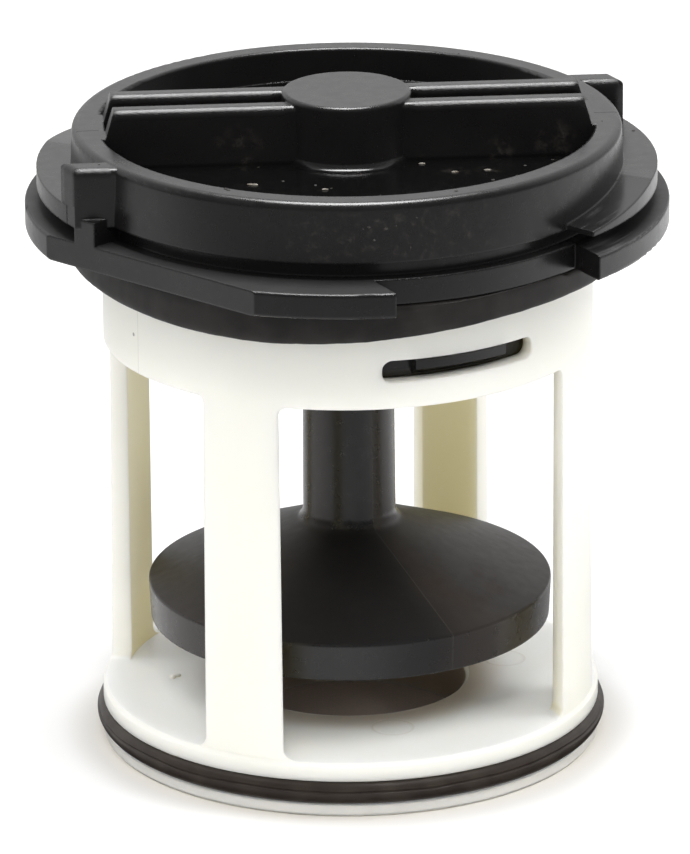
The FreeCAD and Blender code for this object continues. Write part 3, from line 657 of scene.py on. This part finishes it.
def makeFloor():
    half = paper["half"]
    mesh = bpy.data.meshes.new("floor")
    mesh.from_pydata([(-half, -half, 0), (half, -half, 0), (half, half, 0), (-half, half, 0)], [], [(0, 1, 2, 3)])
    floor = bpy.data.objects.new("floor", mesh)
    bpy.context.scene.collection.objects.link(floor)
    f = Finish("floorPaper")
    seen = f.make("ShaderNodeLightPath", output="Is Camera Ray")
    mirrored = seen.also("Is Glossy Ray")
    bounced = seen.also("Is Diffuse Ray")
    contactShadowed = seen * f.radius.below(*paper["nearReach"])                     # painted contact shadow, seen by the camera only
    shade = f.mix(contactShadowed, paper["colour"], paper["near"])
    shade = f.mix(f.radius.between(*paper["underReach"]), paper["under"], shade)    # painted shade on the floor below the suction hole
    f.give(Base_Color=shade, Roughness=paper["roughness"], Specular_IOR_Level=0.0)
    away = f.radius.between(*paper["clear"])                                # neither lift nor shine below the filter
    white = f.glow(paper["lift"] * (seen * (1.0 - contactShadowed) + bounced) * away)
    both = f.make("ShaderNodeAddShader", None, {0: Wire(f.tree, f.shader.outputs[0]), 1: white})

    # what plastic mirrors: brighter behind and to the sides, dimmed close by on the right
    shine = paper["frontShine"] + (paper["backShine"] - paper["frontShine"]) * f.y.between(*paper["turnsAt"])
    left = f.x.least(0.0).most(paper["leftEnd"]) * paper["leftGain"] * f.y.between(*paper["leftBehind"])
    right = f.x.most(0.0).least(paper["rightEnd"]) * paper["rightGain"]
    dimmed = f.x.between(*paper["dimmedFrom"]) * f.radius.below(*paper["dimmedReach"])
    shine = shine * (1.0 + (left + right)) * (1.0 - dimmed * paper["dimmed"])
    card = f.glow(shine * away)
    sheet = f.make("ShaderNodeMixShader", None, {0: mirrored, 1: both, 2: card})
    clear = f.make("ShaderNodeBsdfTransparent")
    edge = f.make("ShaderNodeMixShader", None, {0: f.radius.between(*paper["fadeOut"]), 1: sheet, 2: clear})
    f.tree.links.new(edge.socket, f.tree.nodes["Material Output"].inputs["Surface"])
    mesh.materials.append(f.material)


room = {"front": 0.2, "back": 1.05, "turnsAt": (-0.35, 0.55), "horizon": 0.65, "horizonBand": (0.08, 0.28),
        "fill": 0.77, "fillFrom": (-0.3, -0.15)}


def makeWorld():
    world = bpy.data.worlds.new("tent")
    world.use_nodes = True
    bpy.context.scene.world = world
    w = Wire(world.node_tree)
    seen = w.make("ShaderNodeLightPath", output="Is Camera Ray")
    mirrored = seen.also("Is Glossy Ray")
    seen = seen.most(seen.also("Is Transmission Ray"))
    way = w.make("ShaderNodeTexCoord", output="Generated")
    y = w.make("ShaderNodeSeparateXYZ", None, {0: way}, 1)
    z = y.also(2)
    tent = room["front"] + (room["back"] - room["front"]) * y.between(*room["turnsAt"])
    tent = tent * (room["horizon"] + (1.0 - room["horizon"]) * z.between(*room["horizonBand"]))
    fill = room["fill"] * z.between(*room["fillFrom"])                      # no light from below the floor
    light = fill + mirrored * (tent - fill)
    strength = light + seen * (1.0 - light)                                 # plain white to the camera
    back = world.node_tree.nodes["Background"]
    back.inputs["Color"].default_value = plainWhite
    world.node_tree.links.new(strength.socket, back.inputs["Strength"])


lamps = {
    "overhead": {"place": (0.0, 0.08, 0.78), "width": 0.42, "watts": 12.0, "diffuse": False},
    "key": {"place": (-0.1, -0.32, 0.85), "width": 0.6, "watts": 1.4, "glossy": False},
    "front": {"place": (-0.15, -0.75, 0.48), "width": 0.5, "watts": 0.95, "glossy": False},
    "edge": {"place": (0.0, -0.52, 0.7), "width": 0.2, "watts": 1.2, "glossy": False},
    "left": {"place": (-0.5, 0.1, 0.65), "width": 0.5, "watts": 1.4, "glossy": False},
    "right": {"place": (0.55, -0.03, 0.62), "width": 0.5, "watts": 2.9, "glossy": False},
}
aim = Vector((0, 0, 35 * mm))


def makeLamps():
    for name, lamp in lamps.items():
        data = bpy.data.lights.new(name, "AREA")
        data.shape = "DISK"
        data.size = lamp["width"]
        data.energy = lamp["watts"]
        item = bpy.data.objects.new(name, data)
        item.location = lamp["place"]
        item.visible_diffuse = lamp.get("diffuse", True)
        item.visible_glossy = lamp.get("glossy", True)
        item.rotation_euler = (aim - item.location).to_track_quat("-Z", "Y").to_euler()
        bpy.context.scene.collection.objects.link(item)


shot = {"distance": 780.0 * mm, "elevation": 19.5559 * degree, "pan": 0.0305 * degree, "roll": -0.4313 * degree,
        "aimHeight": 32.869 * mm, "focal": 7558.75, "imageHeight": 854.0, "sensor": 36.0, "clipEnd": 10.0}


def makeCamera():
    level, rise = math.cos(shot["elevation"]), math.sin(shot["elevation"])
    place = Vector((0, -shot["distance"] * level, shot["aimHeight"] + shot["distance"] * rise))
    ahead = Matrix.Rotation(shot["pan"], 3, "Z") @ Vector((0, level, -rise))
    across = ahead.cross(Vector((0, 0, 1))).normalized()
    across = Matrix.Rotation(shot["roll"], 3, -ahead) @ across
    up = across.cross(ahead)
    data = bpy.data.cameras.new("camera")
    data.sensor_fit = "VERTICAL"
    data.sensor_height = shot["sensor"]
    data.lens = shot["focal"] / shot["imageHeight"] * shot["sensor"]        # the focal length is in pixels
    data.clip_end = shot["clipEnd"]
    camera = bpy.data.objects.new("camera", data)
    axes = Matrix((across, up, -ahead)).transposed().to_4x4()
    camera.matrix_world = Matrix.Translation(place) @ axes
    bpy.context.scene.collection.objects.link(camera)
    bpy.context.scene.camera = camera


makeFloor()
makeWorld()
makeLamps()
makeCamera()
bpy.context.scene.view_settings.view_transform = "Standard"
print("stage set")
